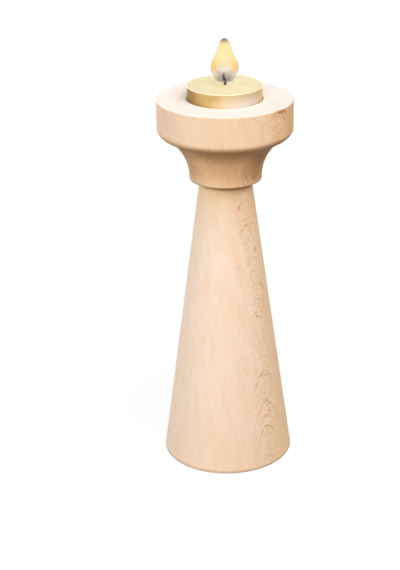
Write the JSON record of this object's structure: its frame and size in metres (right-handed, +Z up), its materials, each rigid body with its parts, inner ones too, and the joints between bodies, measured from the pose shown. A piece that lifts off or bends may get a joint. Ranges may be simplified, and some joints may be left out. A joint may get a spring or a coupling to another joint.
{
  "type": "turned wooden candle stand",
  "caption": "Turned raw beech candle stand: conical column, bead and cove under a drum head, with a lit tealight in its recess.",
  "frame": {"origin": "on the floor, under the middle of the round base", "axes": "+Z up along the turning axis, from the base to the flame; the piece is round, and -Y faces the picture's camera"},
  "size_m": [0.07, 0.07, 0.231],
  "materials": {
    "beech": "matte",
    "gold_foil": "satin",
    "tin_plate": "satin",
    "paraffin": "satin",
    "charred_cotton": "matte",
    "flame_glow": "matte"
  },
  "bodies": {
    "stand": {"column": "beech", "head": "beech"},
    "tealight": {"tealight_cup": "gold_foil"},
    "candle": {"wax": "paraffin", "wick": "charred_cotton", "wick_foot": "tin_plate", "flame": "flame_glow"}
  },
  "joints": [
    {"name": "tealight_lift", "type": "slide", "parent": "stand", "child": "tealight", "axis": [0, 0, 1], "range_m": [0, 0.03]},
    {"name": "wax_lift", "type": "slide", "parent": "tealight", "child": "candle", "axis": [0, 0, 1], "range_m": [0, 0.025]}
  ]
}
